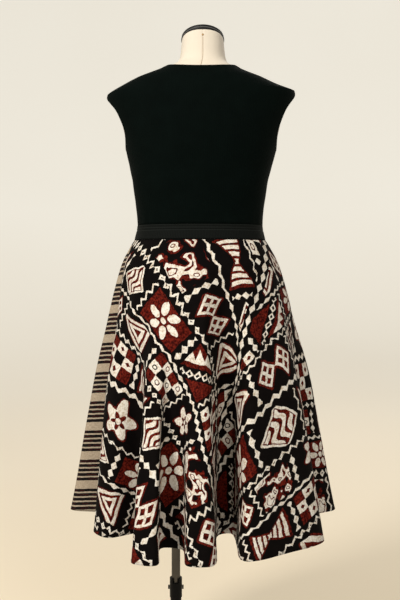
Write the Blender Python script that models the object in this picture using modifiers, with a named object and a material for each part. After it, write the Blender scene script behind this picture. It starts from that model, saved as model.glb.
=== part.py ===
"""A sleeveless fit-and-flare dress worn by a dressmaker's form on a telescopic stand.

The dress: a plain stretch bodice with grown-on cap shoulders, an elastic waistband, and a flared skirt
whose back is one printed panel and whose front is two striped panels. The form: a smooth torso with a
neck cap, a steel rod that slides in the stand's tube, a split clamp collar and a round weighted base.

Units are metres. +Z is up, -Y is the side that the dress's back faces, and the origin is on the floor on
the axis of the rod. The form stands to the right of the rod, as a form hung on an offset flange does.
"""

import math

import bpy
import numpy as np
from mathutils import Vector

# Driving dimensions of the dress
FORM_OFFSET_X = 0.053
HEM_Z = 0.430
SKIRT_TOP_Z = 1.0299
BAND_BOTTOM_Z = 1.0307
BAND_TOP_Z = 1.0607
BODICE_BOTTOM_Z = 1.0610
UNDERARM_Z = 1.225
SHOULDER_TIP_Z = 1.349
NECK_POINT_Z = 1.4065
SCOOP_START_Z = 1.24
BACK_NECK_DIP = 0.0120
FRONT_NECK_DIP = 0.066
JERSEY_WALL = 0.0015
BAND_WALL = 0.0020
SKIRT_WALL = 0.0015
SEAM_HALF_GAP = 0.00022
SIDE_SEAM_RADIUS = 0.09

# Driving dimensions of the stand
ROD_RADIUS = 0.0095
ROD_BOTTOM_Z = 0.125
TUBE_RADIUS = 0.0120
TUBE_TOP_Z = 0.270
BORE_RADIUS = 0.0100
COLLAR_BOTTOM_Z = 0.246
COLLAR_TOP_Z = 0.288
COLLAR_RADIUS = 0.0135
NOTCH_DEPTH = 0.009
NOTCH_WIDTH = 0.012
BOLT_Z = 0.267
BOLT_HEAD_RADIUS = 0.0045
BOLT_HEAD_LENGTH = 0.0032
BASE_RADIUS = 0.190
BASE_THICKNESS = 0.012
BASE_RIM = 0.004
BASE_SOCKET_Z = 0.014
BASE_HUB_TOP_Z = 0.052
FLANGE_RADIUS = 0.048
FLANGE_THICKNESS = 0.006
SOCKET_WALL = 0.0045
SOCKET_BOTTOM_Z = 0.742
FORM_SEAT_Z = 0.800
FIT_GAP = 0.0003
FLANGE_TOP_Z = FORM_SEAT_Z - FIT_GAP
ROD_TOP_Z = FLANGE_TOP_Z - FLANGE_THICKNESS - FIT_GAP

# The form, from the seat up to the neck. Sizes are half-widths and depths from the form's own axis.
FORM_COLUMNS = ("z", "half_width", "back", "front")
FORM_SECTIONS = (
    (FORM_SEAT_Z, 0.160, 0.104, 0.100),
    (0.808, 0.171, 0.116, 0.111),
    (0.850, 0.176, 0.123, 0.115),
    (0.920, 0.167, 0.120, 0.112),
    (0.980, 0.149, 0.107, 0.104),
    (1.030, 0.1360, 0.0980, 0.0980),
    (1.061, 0.1325, 0.0960, 0.0990),
    (1.095, 0.1353, 0.0980, 0.1030),
    (1.127, 0.1393, 0.1015, 0.1075),
    (1.159, 0.1437, 0.1050, 0.1120),
    (1.192, 0.1500, 0.1080, 0.1150),
    (1.224, 0.1568, 0.1110, 0.1170),
    (1.265, 0.1662, 0.1120, 0.1120),
    (1.305, 0.1755, 0.1090, 0.1010),
    (1.335, 0.1795, 0.1050, 0.0890),
    (1.350, 0.1745, 0.1005, 0.0810),
    (1.363, 0.1615, 0.0955, 0.0745),
    (1.378, 0.1390, 0.0870, 0.0660),
    (1.386, 0.1195, 0.0810, 0.0610),
    (1.395, 0.0965, 0.0740, 0.0560),
    (1.406, 0.0745, 0.0660, 0.0520),
    (1.413, 0.0610, 0.0600, 0.0495),
    (1.4185, 0.0545, 0.0560, 0.0480),
    (1.428, 0.0505, 0.0525, 0.0475),
    (1.438, 0.0487, 0.0500, 0.0470),
    (1.4645, 0.0460, 0.0460, 0.0460),
)
NECK_TOP_Z = FORM_SECTIONS[-1][0]
FORM_RING_Z = (
    FORM_SEAT_Z, 0.808, 0.850, 0.910, 0.970, 1.020, 1.061, 1.110, 1.159, 1.195, 1.230,
    1.270, 1.305, 1.332, 1.346, 1.357, 1.366, 1.375, 1.383, 1.391, 1.399, 1.407, 1.415,
    1.424, 1.438, NECK_TOP_Z,
)
FORM_RING_POINTS = 44
SQUARENESS = 0.045
BUST_Z = 1.195
BUST_RISE = 0.018
BUST_HEIGHT = 0.056
BUST_ANGLE = 35.0
BUST_SPREAD = 24.0
RIGHT_FULLNESS = 0.006
RIGHT_FULLNESS_Z = 1.260
RIGHT_FULLNESS_HEIGHT = 0.080
NECK_SHIFT = 0.006
NECK_TILT = 0.36
CAP_DISC_RADIUS = 0.0468
CAP_DISC_THICKNESS = 0.0125
CAP_DISC_ROUNDING = 0.0030

# Bodice rows, waist to neck, and the cap shoulder that stands out past the form
BODICE_ROW_Z = (
    BODICE_BOTTOM_Z, 1.100, 1.142, 1.185, UNDERARM_Z, 1.232, 1.244, 1.266, 1.290,
    1.314, 1.333, SHOULDER_TIP_Z, 1.357, 1.366, 1.3775, 1.392, NECK_POINT_Z,
)
BODICE_COLUMNS_ACROSS = 24
ARMHOLE_BACK_DEG = 24.0
ARMHOLE_FRONT_DEG = 30.0
ARMHOLE_SQUARENESS = 2.6
CAP_REACH = 0.0280
CAP_LIFT_LEFT = -0.0040
CAP_LIFT_RIGHT = 0.0040
CAP_START_Z = 1.232
CAP_FLARE = 1.7
CAP_END_Z = 1.392
CAP_TAPER = 2.0
EASE_BODY = 0.0030
EASE_SHOULDER = 0.0016

# Waistband: height share from its lower edge, and how far its outer face stands off the form
BAND_COLUMNS = ("share", "stand_off")
BAND_PROFILE = (
    (0.00, 0.0077),
    (0.56, 0.0060),
    (0.64, 0.0052),
    (0.72, 0.0056),
    (0.84, 0.0046),
    (0.90, 0.0052),
    (1.00, 0.0048),
)
BAND_POINTS = 44

# Outer envelope of the skirt, waistband to hem, on the form's own axis
SKIRT_COLUMNS = ("z", "half_width", "half_depth")
SKIRT_SECTIONS = (
    (1.0299, 0.1437, 0.1057),
    (1.015, 0.1530, 0.1170),
    (0.979, 0.1720, 0.1360),
    (0.918, 0.1900, 0.1620),
    (0.850, 0.2060, 0.1880),
    (0.783, 0.2240, 0.2130),
    (0.722, 0.2385, 0.2350),
    (0.654, 0.2510, 0.2580),
    (0.540, 0.2720, 0.2950),
    (0.430, 0.2925, 0.3280),
)

# Flutes, anticlockwise from above starting behind the right side. Each row is a crest and the valley
# after it at the hem: its direction, how far inside the envelope it lies, half its breadth, and the
# share of the skirt's length at which it starts to open.
FLUTE_COLUMNS = (
    "crest_deg", "crest_in", "crest_half", "crest_start",
    "valley_deg", "valley_in", "valley_half", "valley_start",
)
FLUTES = (
    (9.0, -0.0125, 0.028, 0.06, 24.0, 0.100, 0.013, 0.12),
    (38.0, 0.000, 0.032, 0.06, 56.0, 0.120, 0.014, 0.08),
    (73.0, -0.005, 0.036, 0.06, 93.0, 0.145, 0.014, 0.18),
    (112.0, 0.004, 0.036, 0.06, 130.0, 0.125, 0.014, 0.10),
    (146.0, 0.000, 0.030, 0.06, 159.0, 0.075, 0.012, 0.20),
    (171.0, 0.002, 0.024, 0.06, 184.0, 0.090, 0.012, 0.02),
    (214.5, 0.049, 0.035, 0.10, 232.0, 0.140, 0.012, 0.26),
    (251.5, -0.010, 0.024, 0.15, 257.0, 0.090, 0.020, 0.40),
    (270.0, 0.002, 0.0245, 0.15, 289.3, 0.170, 0.014, 0.10),
    (304.3, 0.013, 0.0985, 0.06, 349.0, 0.078, 0.010, 0.24),
)
CREST_ROUNDING = 0.30
CREST_ROUNDING_MOST = 0.012
GROWTH_POWER = 0.95
TURN_POWER = 0.60
SKIRT_ROW_SHARES = (0.0, 0.035, 0.09, 0.17, 0.26, 0.36, 0.46, 0.57, 0.68, 0.79, 0.90, 1.0)
STEPS_PER_KEY = 3
RIGHT_SEAM_DEG = 16.0
FRONT_SEAM_DEG = 93.0
LEFT_SEAM_DEG = 184.0

COLOURS = {
    "jersey_black": ((0.006, 0.006, 0.008), 0.78, 0.0),
    "elastic_black": ((0.010, 0.010, 0.011), 0.70, 0.0),
    "print_cotton": ((0.22, 0.03, 0.02), 0.85, 0.0),
    "stripe_cotton": ((0.62, 0.53, 0.42), 0.85, 0.0),
    "form_linen": ((0.80, 0.70, 0.55), 0.85, 0.0),
    "cap_black": ((0.012, 0.012, 0.011), 0.35, 0.0),
    "rod_steel": ((0.20, 0.20, 0.20), 0.35, 1.0),
    "stand_black": ((0.010, 0.010, 0.011), 0.40, 0.6),
}


def start_scene():
    """Empties the scene and returns the collections for the pieces and for the cutters."""
    for item in list(bpy.data.objects):
        bpy.data.objects.remove(item)
    pieces = bpy.data.collections.new("dress_on_form")
    cutters = bpy.data.collections.new("cutters")
    bpy.context.scene.collection.children.link(pieces)
    bpy.context.scene.collection.children.link(cutters)
    return pieces, cutters


def make_material(name):
    """A Principled material from the colour table."""
    colour, roughness, metallic = COLOURS[name]
    material = bpy.data.materials.new(name)
    material.use_nodes = True
    shader = material.node_tree.nodes["Principled BSDF"]
    shader.inputs["Base Color"].default_value = (*colour, 1.0)
    shader.inputs["Roughness"].default_value = roughness
    shader.inputs["Metallic"].default_value = metallic
    return material


def add_mesh(name, points, faces, material, collection):
    """A smooth-shaded mesh object from points and faces."""
    mesh = bpy.data.meshes.new(name)
    mesh.from_pydata([tuple(p) for p in points], [], faces)
    mesh.materials.append(material)
    mesh.shade_smooth()
    piece = bpy.data.objects.new(name, mesh)
    collection.objects.link(piece)
    return piece


def grid_faces(rows, columns, closed):
    """Quads of a grid of points stored row by row, joined round when closed."""
    last = columns if closed else columns - 1
    faces = []
    for row in range(rows - 1):
        for column in range(last):
            after = (column + 1) % columns
            low, high = row * columns, (row + 1) * columns
            faces.append((low + column, low + after, high + after, high + column))
    return faces


def add_wall(name, grid, thickness, material, collection, closed=False):
    """Cloth: an open grid of outer points, thickened towards the inside."""
    rows, columns = grid.shape[:2]
    piece = add_mesh(name, grid.reshape(-1, 3), grid_faces(rows, columns, closed), material, collection)
    wall = piece.modifiers.new("wall", "SOLIDIFY")
    wall.thickness = thickness
    wall.offset = -1.0
    wall.use_even_offset = False
    return piece


def column(table, names, name):
    """One named column of a table of rows, as an array."""
    return np.array([row[names.index(name)] for row in table], float)


def smooth_curve(knots, values, at):
    """A smooth curve through the knots that does not overshoot them (knots rise)."""
    at = np.clip(np.asarray(at, float), knots[0], knots[-1])
    width = np.diff(knots)
    slope = np.diff(values) / width
    product = slope[:-1] * slope[1:]
    total = slope[:-1] + slope[1:]
    tangent = np.concatenate(([slope[0]], np.zeros(len(knots) - 2), [slope[-1]]))
    rising = product > 0
    tangent[1:-1][rising] = 2 * product[rising] / total[rising]
    index = np.clip(np.searchsorted(knots, at, side="right") - 1, 0, len(knots) - 2)
    part = (at - knots[index]) / width[index]
    lift = part * part * (3 - 2 * part)
    near = part * (1 - part) ** 2 * tangent[index] * width[index]
    far = part * part * (part - 1) * tangent[index + 1] * width[index]
    return values[index] * (1 - lift) + values[index + 1] * lift + near + far


def ease_step(low, high, at):
    """0 below low, 1 above high, and a smooth S between."""
    part = np.clip((np.asarray(at, float) - low) / (high - low), 0, 1)
    return part * part * (3 - 2 * part)


def form_surface(theta, z):
    """Points of the form at angles theta (radians, 0 at +X, a quarter turn at the front) and heights z."""
    knots = column(FORM_SECTIONS, FORM_COLUMNS, "z")
    half_width = smooth_curve(knots, column(FORM_SECTIONS, FORM_COLUMNS, "half_width"), z)
    back = smooth_curve(knots, column(FORM_SECTIONS, FORM_COLUMNS, "back"), z)
    front = smooth_curve(knots, column(FORM_SECTIONS, FORM_COLUMNS, "front"), z)
    corner = 1 + SQUARENESS * np.sin(2 * theta) ** 2
    x = half_width * np.cos(theta) * corner
    y = np.where(np.sin(theta) > 0, front, back) * np.sin(theta) * corner
    turn = np.degrees(theta) % 360
    for side in (90 - BUST_ANGLE, 90 + BUST_ANGLE):
        around = ((turn - side) / BUST_SPREAD) ** 2
        upright = ((z - BUST_Z) / BUST_HEIGHT) ** 2
        y = y + BUST_RISE * np.exp(-around - upright)
    beside = np.maximum(np.cos(theta), 0) ** 2
    x = x + RIGHT_FULLNESS * beside * np.exp(-(((z - RIGHT_FULLNESS_Z) / RIGHT_FULLNESS_HEIGHT) ** 2))
    x = x + NECK_SHIFT * ease_step(1.385, 1.425, z)
    lean = NECK_TILT * ease_step(1.425, NECK_TOP_Z, z)
    return np.stack([x + FORM_OFFSET_X, y, z - lean * y], axis=-1)


def form_normal(theta, z):
    """Outward unit normals of the form, from small steps along both directions."""
    step = 1e-4
    along = form_surface(theta + step, z) - form_surface(theta - step, z)
    up = form_surface(theta, z + step) - form_surface(theta, z - step)
    normal = np.cross(along, up)
    return normal / np.linalg.norm(normal, axis=-1, keepdims=True)


def build_form(pieces):
    """The torso: rings from the seat to the neck, closed by flat ends."""
    theta = np.linspace(0, 2 * math.pi, FORM_RING_POINTS, endpoint=False)
    angles, heights = np.meshgrid(theta, np.array(FORM_RING_Z))
    grid = form_surface(angles, heights)
    rows = len(FORM_RING_Z)
    faces = grid_faces(rows, FORM_RING_POINTS, closed=True)
    faces.append(tuple(reversed(range(FORM_RING_POINTS))))
    faces.append(tuple(range((rows - 1) * FORM_RING_POINTS, rows * FORM_RING_POINTS)))
    piece = add_mesh("form_torso", grid.reshape(-1, 3), faces, make_material("form_linen"), pieces)
    piece.data.set_sharp_from_angle(angle=math.radians(50))


def build_neck_cap(pieces):
    """A disc with a rounded rim on the sloping top of the neck."""
    top = form_surface(np.array([0.0]), np.array([NECK_TOP_Z]))[0]
    bpy.ops.mesh.primitive_cylinder_add(vertices=40, radius=CAP_DISC_RADIUS, depth=CAP_DISC_THICKNESS)
    cap = bpy.context.object
    cap.name = "neck_cap"
    slope = math.atan(NECK_TILT)
    normal = Vector((0, math.sin(slope), math.cos(slope)))
    centre = Vector((FORM_OFFSET_X + NECK_SHIFT, 0, float(top[2])))
    cap.location = centre + normal * (CAP_DISC_THICKNESS / 2 + FIT_GAP)
    cap.rotation_euler = (-slope, 0, 0)
    cap.scale = (1, 1 / math.cos(slope), 1)
    bpy.ops.object.transform_apply(location=False, rotation=False, scale=True)
    rim = cap.modifiers.new("rim", "BEVEL")
    rim.width = CAP_DISC_ROUNDING
    rim.segments = 2
    rim.limit_method = "ANGLE"
    finish_primitive(cap, "cap_black", pieces)


def finish_primitive(piece, material_name, collection):
    """Gives an object made by an operator its mesh name, material, shading and collection."""
    piece.data.name = piece.name
    piece.data.materials.clear()
    piece.data.materials.append(make_material(material_name))
    piece.data.shade_smooth()
    piece.data.set_sharp_from_angle(angle=math.radians(35))
    for owner in list(piece.users_collection):
        owner.objects.unlink(piece)
    collection.objects.link(piece)


def bodice_surface(theta, z):
    """Outer face of the bodice: the form, moved out by its ease and its wall, with the cap shoulder."""
    ease = EASE_SHOULDER + (EASE_BODY - EASE_SHOULDER) * (1 - ease_step(1.27, 1.36, z))
    stand_off = (ease + JERSEY_WALL)[..., None]
    points = form_surface(theta, z) + form_normal(theta, z) * stand_off
    rising = np.clip((z - CAP_START_Z) / (SHOULDER_TIP_Z - CAP_START_Z), 0, 1) ** CAP_FLARE
    falling = np.clip((CAP_END_Z - z) / (CAP_END_Z - SHOULDER_TIP_Z), 0, 1) ** CAP_TAPER
    reach = np.minimum(rising, falling) * np.cos(theta) ** 2
    points[..., 0] += np.sign(np.cos(theta)) * CAP_REACH * reach
    points[..., 2] += np.where(np.cos(theta) > 0, CAP_LIFT_RIGHT, CAP_LIFT_LEFT) * reach
    return points


def armhole_inset(z, widest_deg):
    """How far the armhole's edge swings away from the side, in radians."""
    share = np.clip((z - UNDERARM_Z) / (SHOULDER_TIP_Z - UNDERARM_Z), 0, 1)
    return math.radians(widest_deg) * (1 - np.abs(2 * share - 1) ** ARMHOLE_SQUARENESS)


def bodice_grid(centre_deg, widest_deg, neck_dip, scoop_power):
    """Grid of one bodice panel about the direction centre_deg, with armhole edges and a scooped neck."""
    z_rows = np.array(BODICE_ROW_Z)
    across = np.linspace(-1, 1, BODICE_COLUMNS_ACROSS + 1)
    side_gap = SEAM_HALF_GAP / SIDE_SEAM_RADIUS
    reach = math.pi / 2 - side_gap - armhole_inset(z_rows, widest_deg)
    from_centre = across[None, :] * reach[:, None]
    theta = math.radians(centre_deg) + from_centre
    scoop = neck_dip * np.clip((z_rows - SCOOP_START_Z) / (NECK_POINT_Z - SCOOP_START_Z), 0, 1) ** 2
    z = z_rows[:, None] - scoop[:, None] * np.cos(from_centre) ** scoop_power
    return bodice_surface(theta, z)


def build_bodice(pieces):
    """The back and front panels, meeting at the side and shoulder seams."""
    jersey = make_material("jersey_black")
    back = bodice_grid(270, ARMHOLE_BACK_DEG, BACK_NECK_DIP, 2)
    front = bodice_grid(90, ARMHOLE_FRONT_DEG, FRONT_NECK_DIP, 5)
    add_wall("bodice_back", back, JERSEY_WALL, jersey, pieces)
    add_wall("bodice_front", front, JERSEY_WALL, jersey, pieces)


def build_waistband(pieces):
    """A closed elastic band with a stitched channel along its upper part."""
    share = column(BAND_PROFILE, BAND_COLUMNS, "share")
    stand_off = column(BAND_PROFILE, BAND_COLUMNS, "stand_off")
    z = BAND_BOTTOM_Z + share * (BAND_TOP_Z - BAND_BOTTOM_Z)
    theta = np.linspace(0, 2 * math.pi, BAND_POINTS, endpoint=False)
    angles, heights = np.meshgrid(theta, z)
    outward = form_normal(angles, heights)
    outward[..., 2] = 0
    grid = form_surface(angles, heights) + outward * stand_off[:, None, None]
    add_wall("waistband", grid, BAND_WALL, make_material("elastic_black"), pieces, closed=True)


def envelope_radius(angle, half_width, half_depth):
    """Distance from the axis to an ellipse in the direction angle (radians)."""
    return 1 / np.sqrt((np.cos(angle) / half_width) ** 2 + (np.sin(angle) / half_depth) ** 2)


def flute_keys():
    """Key points round the hem: three on each crest and two in each valley.

    Each key has its direction, its distance from the axis and the share of the length where it starts."""
    hem = SKIRT_SECTIONS[-1]
    half_width, half_depth = hem[1], hem[2]
    keys = []
    for row in FLUTES:
        flute = dict(zip(FLUTE_COLUMNS, row))
        for kind, sides in (("crest", (-1, 0, 1)), ("valley", (-1, 1))):
            angle = math.radians(flute[kind + "_deg"])
            radius = envelope_radius(angle, half_width, half_depth) - flute[kind + "_in"]
            half = flute[kind + "_half"]
            outward = np.array([math.cos(angle), math.sin(angle)])
            along = np.array([-math.sin(angle), math.cos(angle)])
            for side in sides:
                rounding = min(CREST_ROUNDING * half, CREST_ROUNDING_MOST) * abs(side)
                inward = rounding if kind == "crest" else 0.0
                point = outward * (radius - inward) + along * side * half
                keys.append((point[0], point[1], flute[kind + "_start"]))
    return np.array(keys)


def closed_spline(points, steps):
    """A closed curve through the points, cut into steps pieces between each pair (centripetal)."""
    before = np.roll(points, 1, axis=0)
    after = np.roll(points, -1, axis=0)
    beyond = np.roll(points, -2, axis=0)
    gap_0 = np.sqrt(np.linalg.norm(points - before, axis=1))
    gap_1 = np.sqrt(np.linalg.norm(after - points, axis=1))
    gap_2 = np.sqrt(np.linalg.norm(beyond - after, axis=1))
    knot_1 = gap_0
    knot_2 = gap_0 + gap_1
    knot_3 = knot_2 + gap_2
    found = []
    for step in range(steps):
        at = (knot_1 + gap_1 * step / steps)[:, None]
        k1, k2, k3 = knot_1[:, None], knot_2[:, None], knot_3[:, None]
        first = (before * (k1 - at) + points * at) / k1
        second = (points * (k2 - at) + after * (at - k1)) / (k2 - k1)
        third = (after * (k3 - at) + beyond * (at - k2)) / (k3 - k2)
        left = (first * (k2 - at) + second * at) / k2
        right = (second * (k3 - at) + third * (at - k1)) / (k3 - k1)
        found.append((left * (k2 - at) + right * (at - k1)) / (k2 - k1))
    return np.stack(found, axis=1).reshape(-1, 2)


def skirt_grid():
    """Rings of the whole skirt, from the hem up to the waistband, on the form's own axis.

    A key point turns from its even share of the waist to its place at the hem, and its flute opens
    from its own start, so the cloth at any height is the same share of the ring."""
    keys = flute_keys()
    hem_angle = np.unwrap(np.arctan2(keys[:, 1], keys[:, 0]))
    hem_radius = np.hypot(keys[:, 0], keys[:, 1])
    hem = SKIRT_SECTIONS[-1]
    inset = envelope_radius(hem_angle, hem[1], hem[2]) - hem_radius
    steps = np.linalg.norm(np.roll(keys[:, :2], -1, axis=0) - keys[:, :2], axis=1)
    share_round = np.concatenate(([0], np.cumsum(steps)[:-1])) / steps.sum()
    waist_angle = 2 * math.pi * share_round
    waist_angle += np.mean(hem_angle - waist_angle)
    knots = column(SKIRT_SECTIONS, SKIRT_COLUMNS, "z")[::-1]
    half_widths = column(SKIRT_SECTIONS, SKIRT_COLUMNS, "half_width")[::-1]
    half_depths = column(SKIRT_SECTIONS, SKIRT_COLUMNS, "half_depth")[::-1]
    rows = []
    for share in SKIRT_ROW_SHARES:
        z = SKIRT_TOP_Z + share * (HEM_Z - SKIRT_TOP_Z)
        half_width = smooth_curve(knots, half_widths, z)
        half_depth = smooth_curve(knots, half_depths, z)
        angle = waist_angle + (hem_angle - waist_angle) * share**TURN_POWER
        opened = np.clip((share - keys[:, 2]) / (1 - keys[:, 2]), 0, 1) ** GROWTH_POWER
        radius = envelope_radius(angle, half_width, half_depth) - opened * inset
        radius *= 1 + SQUARENESS * np.sin(2 * angle) ** 2 * (1 - share) ** 4
        ring_keys = np.stack([radius * np.cos(angle), radius * np.sin(angle)], axis=1)
        ring = closed_spline(ring_keys, STEPS_PER_KEY)
        height = np.full((len(ring), 1), z)
        rows.append(np.concatenate([ring + (FORM_OFFSET_X, 0), height], axis=1))
    return np.array(rows)[::-1]


def seam_column(grid, direction_deg):
    """Index of the column whose hem point lies nearest to a direction from the form's axis."""
    hem = grid[0]
    angle = np.degrees(np.arctan2(hem[:, 1], hem[:, 0] - FORM_OFFSET_X)) % 360
    away = np.abs((angle - direction_deg + 180) % 360 - 180)
    return int(np.argmin(away))


def panel_grid(grid, first, last):
    """Columns first to last of the whole skirt, drawn back a little at both edges to leave the seam open."""
    count = grid.shape[1]
    picked = [(first + step) % count for step in range((last - first) % count + 1)]
    panel = grid[:, picked].copy()
    for edge, inner in ((0, 1), (-1, -2)):
        away = panel[:, inner] - panel[:, edge]
        length = np.linalg.norm(away, axis=1, keepdims=True)
        panel[:, edge] += away / length * SEAM_HALF_GAP
    return panel


def build_skirt(pieces):
    """One printed back panel and two striped front panels, cut from the same fluted surface."""
    grid = skirt_grid()
    right = seam_column(grid, RIGHT_SEAM_DEG)
    middle = seam_column(grid, FRONT_SEAM_DEG)
    left = seam_column(grid, LEFT_SEAM_DEG)
    stripes = make_material("stripe_cotton")
    printed = make_material("print_cotton")
    add_wall("skirt_front_right", panel_grid(grid, right, middle), SKIRT_WALL, stripes, pieces)
    add_wall("skirt_front_left", panel_grid(grid, middle, left), SKIRT_WALL, stripes, pieces)
    add_wall("skirt_back", panel_grid(grid, left, right), SKIRT_WALL, printed, pieces)


def add_turned(name, profile, closed, steps, material_name, pieces):
    """A profile of (radius, height) points turned about the rod's axis."""
    mesh = bpy.data.meshes.new(name)
    points = [(radius, 0.0, z) for radius, z in profile]
    edges = [(i, i + 1) for i in range(len(points) - 1)]
    if closed:
        edges.append((len(points) - 1, 0))
    mesh.from_pydata(points, edges, [])
    mesh.materials.append(make_material(material_name))
    piece = bpy.data.objects.new(name, mesh)
    pieces.objects.link(piece)
    turn = piece.modifiers.new("turn", "SCREW")
    turn.angle = 2 * math.pi
    turn.steps = steps
    turn.render_steps = steps
    turn.use_merge_vertices = True
    turn.merge_threshold = 0.00001
    return piece


def build_stand(pieces, cutters):
    """The base, the outer tube, the split collar with its clamp bolt heads, and the steel rod."""
    hub = TUBE_RADIUS + FIT_GAP
    add_turned(
        "stand_base",
        [
            (0.0, BASE_SOCKET_Z), (hub, BASE_SOCKET_Z), (hub, BASE_HUB_TOP_Z),
            (hub + 0.006, BASE_HUB_TOP_Z), (hub + 0.008, BASE_HUB_TOP_Z - 0.006),
            (hub + 0.014, BASE_THICKNESS + 0.012), (BASE_RADIUS * 0.5, BASE_THICKNESS + 0.006),
            (BASE_RADIUS - 2 * BASE_RIM, BASE_THICKNESS), (BASE_RADIUS, BASE_THICKNESS - BASE_RIM),
            (BASE_RADIUS, 0.0), (0.0, 0.0),
        ],
        False, 48, "stand_black", pieces,
    )
    tube_bottom = BASE_SOCKET_Z + FIT_GAP
    add_turned(
        "stand_tube",
        [
            (TUBE_RADIUS, TUBE_TOP_Z), (TUBE_RADIUS, tube_bottom),
            (BORE_RADIUS, tube_bottom), (BORE_RADIUS, TUBE_TOP_Z),
        ],
        True, 24, "stand_black", pieces,
    )
    build_collar(pieces, cutters)
    bpy.ops.mesh.primitive_cylinder_add(vertices=24, radius=ROD_RADIUS, depth=ROD_TOP_Z - ROD_BOTTOM_Z)
    rod = bpy.context.object
    rod.name = "height_rod"
    rod.location = (0, 0, (ROD_TOP_Z + ROD_BOTTOM_Z) / 2)
    finish_primitive(rod, "rod_steel", pieces)


def build_collar(pieces, cutters):
    """A sleeve on the tube's end that narrows onto the rod, notched front and back so that it can grip."""
    sleeve = TUBE_RADIUS + FIT_GAP
    collar = add_turned(
        "clamp_collar",
        [
            (COLLAR_RADIUS, COLLAR_TOP_Z), (COLLAR_RADIUS, COLLAR_BOTTOM_Z), (sleeve, COLLAR_BOTTOM_Z),
            (sleeve, TUBE_TOP_Z + FIT_GAP), (BORE_RADIUS, TUBE_TOP_Z + FIT_GAP),
            (BORE_RADIUS, COLLAR_TOP_Z),
        ],
        True, 24, "stand_black", pieces,
    )
    bpy.ops.mesh.primitive_cube_add(size=1.0)
    notch = bpy.context.object
    notch.name = "collar_notch"
    notch.scale = (NOTCH_WIDTH, 4 * COLLAR_RADIUS, 2 * NOTCH_DEPTH)
    notch.location = (0, 0, COLLAR_TOP_Z)
    notch.hide_render = True
    notch.display_type = "WIRE"
    for owner in list(notch.users_collection):
        owner.objects.unlink(notch)
    cutters.objects.link(notch)
    cut = collar.modifiers.new("notch", "BOOLEAN")
    cut.operation = "DIFFERENCE"
    cut.solver = "EXACT"
    cut.object = notch
    for side, name in ((-1, "clamp_bolt_left"), (1, "clamp_bolt_right")):
        bpy.ops.mesh.primitive_cylinder_add(vertices=16, radius=BOLT_HEAD_RADIUS, depth=BOLT_HEAD_LENGTH)
        head = bpy.context.object
        head.name = name
        head.rotation_euler = (0, math.radians(90), 0)
        head.location = (side * (COLLAR_RADIUS + FIT_GAP + BOLT_HEAD_LENGTH / 2), 0, BOLT_Z)
        finish_primitive(head, "stand_black", pieces)


def build_flange(pieces):
    """The plate under the torso, with the blind socket that turns on the rod's end."""
    bore = ROD_RADIUS + FIT_GAP
    under = FLANGE_TOP_Z - FLANGE_THICKNESS
    outside = bore + SOCKET_WALL
    add_turned(
        "form_flange",
        [
            (0.0, FLANGE_TOP_Z), (FLANGE_RADIUS, FLANGE_TOP_Z), (FLANGE_RADIUS, under),
            (2 * bore, under), (outside, under - 0.012), (outside, SOCKET_BOTTOM_Z),
            (bore, SOCKET_BOTTOM_Z), (bore, under), (0.0, under),
        ],
        False, 32, "stand_black", pieces,
    )


def main():
    pieces, cutters = start_scene()
    build_form(pieces)
    build_neck_cap(pieces)
    build_bodice(pieces)
    build_waistband(pieces)
    build_skirt(pieces)
    build_flange(pieces)
    build_stand(pieces, cutters)


main()
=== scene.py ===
"""Looks for the dress on its form: finer cloth on the same forms as the solids, with their materials.

Units are metres in the part's own frame: +Z up, -Y the side that the dress's back faces, and the origin on
the floor under the rod. The form and the dress stand 53 mm to the right of the rod.
"""

import math

import bpy
import numpy as np
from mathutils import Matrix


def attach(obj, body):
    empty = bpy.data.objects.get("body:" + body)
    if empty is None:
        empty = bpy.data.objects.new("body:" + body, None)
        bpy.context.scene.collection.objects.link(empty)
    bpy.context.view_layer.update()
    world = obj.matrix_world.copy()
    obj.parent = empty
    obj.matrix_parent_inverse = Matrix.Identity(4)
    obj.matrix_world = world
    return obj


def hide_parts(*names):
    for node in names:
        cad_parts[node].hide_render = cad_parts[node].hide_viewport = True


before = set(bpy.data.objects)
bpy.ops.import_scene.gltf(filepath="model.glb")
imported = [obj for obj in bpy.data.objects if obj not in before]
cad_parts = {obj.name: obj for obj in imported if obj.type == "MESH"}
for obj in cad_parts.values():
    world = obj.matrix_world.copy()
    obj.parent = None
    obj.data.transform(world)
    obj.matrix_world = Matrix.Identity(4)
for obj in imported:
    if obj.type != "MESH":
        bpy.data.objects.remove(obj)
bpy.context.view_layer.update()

# The dress form: a limbless padded torso under a cream linen cover, sewn from two halves and stretched on.
# A narrow pinched seam runs down the middle of its back and its front. It turns on the end of the rod.

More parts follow.
